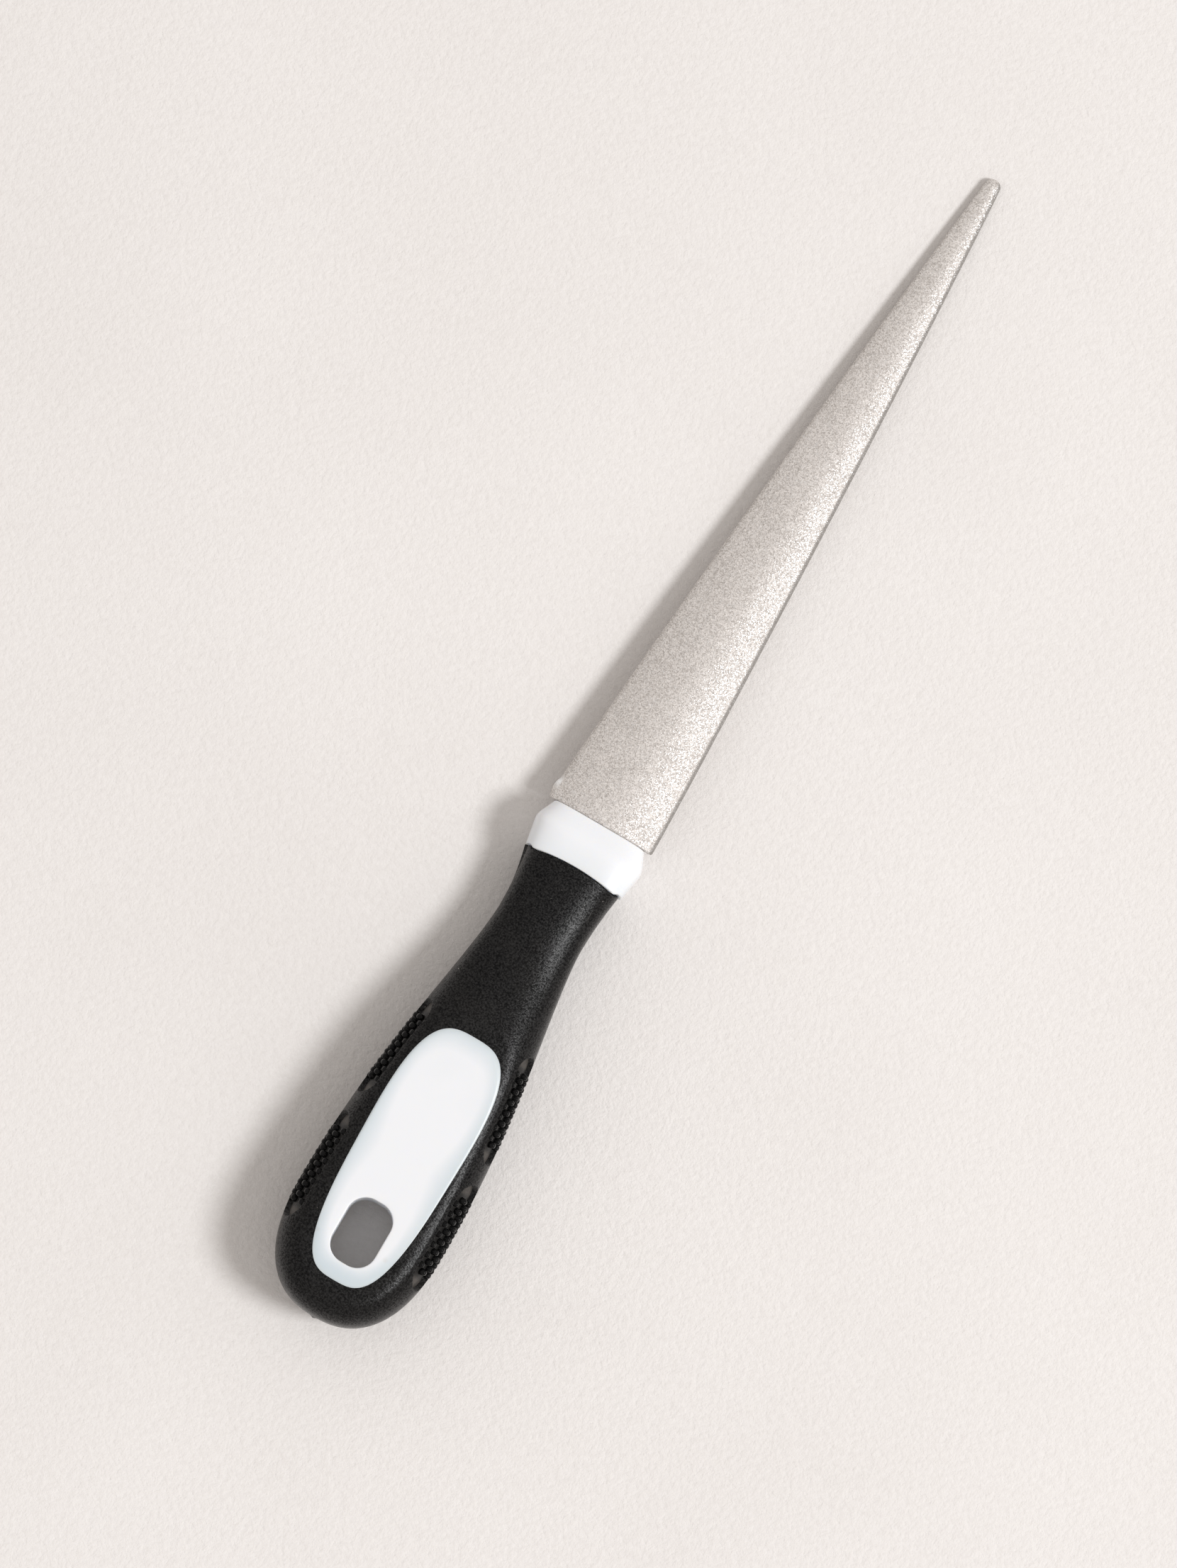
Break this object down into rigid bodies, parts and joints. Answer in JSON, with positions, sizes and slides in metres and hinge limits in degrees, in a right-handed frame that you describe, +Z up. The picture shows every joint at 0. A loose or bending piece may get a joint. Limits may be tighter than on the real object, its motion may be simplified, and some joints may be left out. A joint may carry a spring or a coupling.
{
  "type": "knife sharpening steel",
  "caption": "Flat tapered abrasive-coated sharpening steel with a two-material handle, studded grip pads and a hang hole.",
  "frame": {"origin": "middle of the flat lower land of the handle, which the tool rests on, on the handle's centre line", "axes": "+Y along the handle towards the tip of the steel, +Z up out of the upper land, X across the handle"},
  "size_m": [0.0358, 0.2898, 0.021],
  "materials": {
    "grit_steel": "fine nickel-bonded abrasive grit, satin with sparkle",
    "rigid_core": "smooth white rigid plastic",
    "soft_grip": "fine-grained black soft grip",
    "stud_rubber": "smooth glossy black rubber studs on a dull floor"
  },
  "bodies": {
    "root": {"sharpening_steel": "grit_steel", "handle_core": "rigid_core", "soft_grip": "soft_grip", "stud_pad_upper_left_front": "stud_rubber", "stud_pad_upper_left_rear": "stud_rubber", "stud_pad_upper_right_front": "stud_rubber", "stud_pad_upper_right_rear": "stud_rubber", "stud_pad_lower_left_front": "stud_rubber", "stud_pad_lower_left_rear": "stud_rubber", "stud_pad_lower_right_front": "stud_rubber", "stud_pad_lower_right_rear": "stud_rubber"}
  },
  "joints": []
}
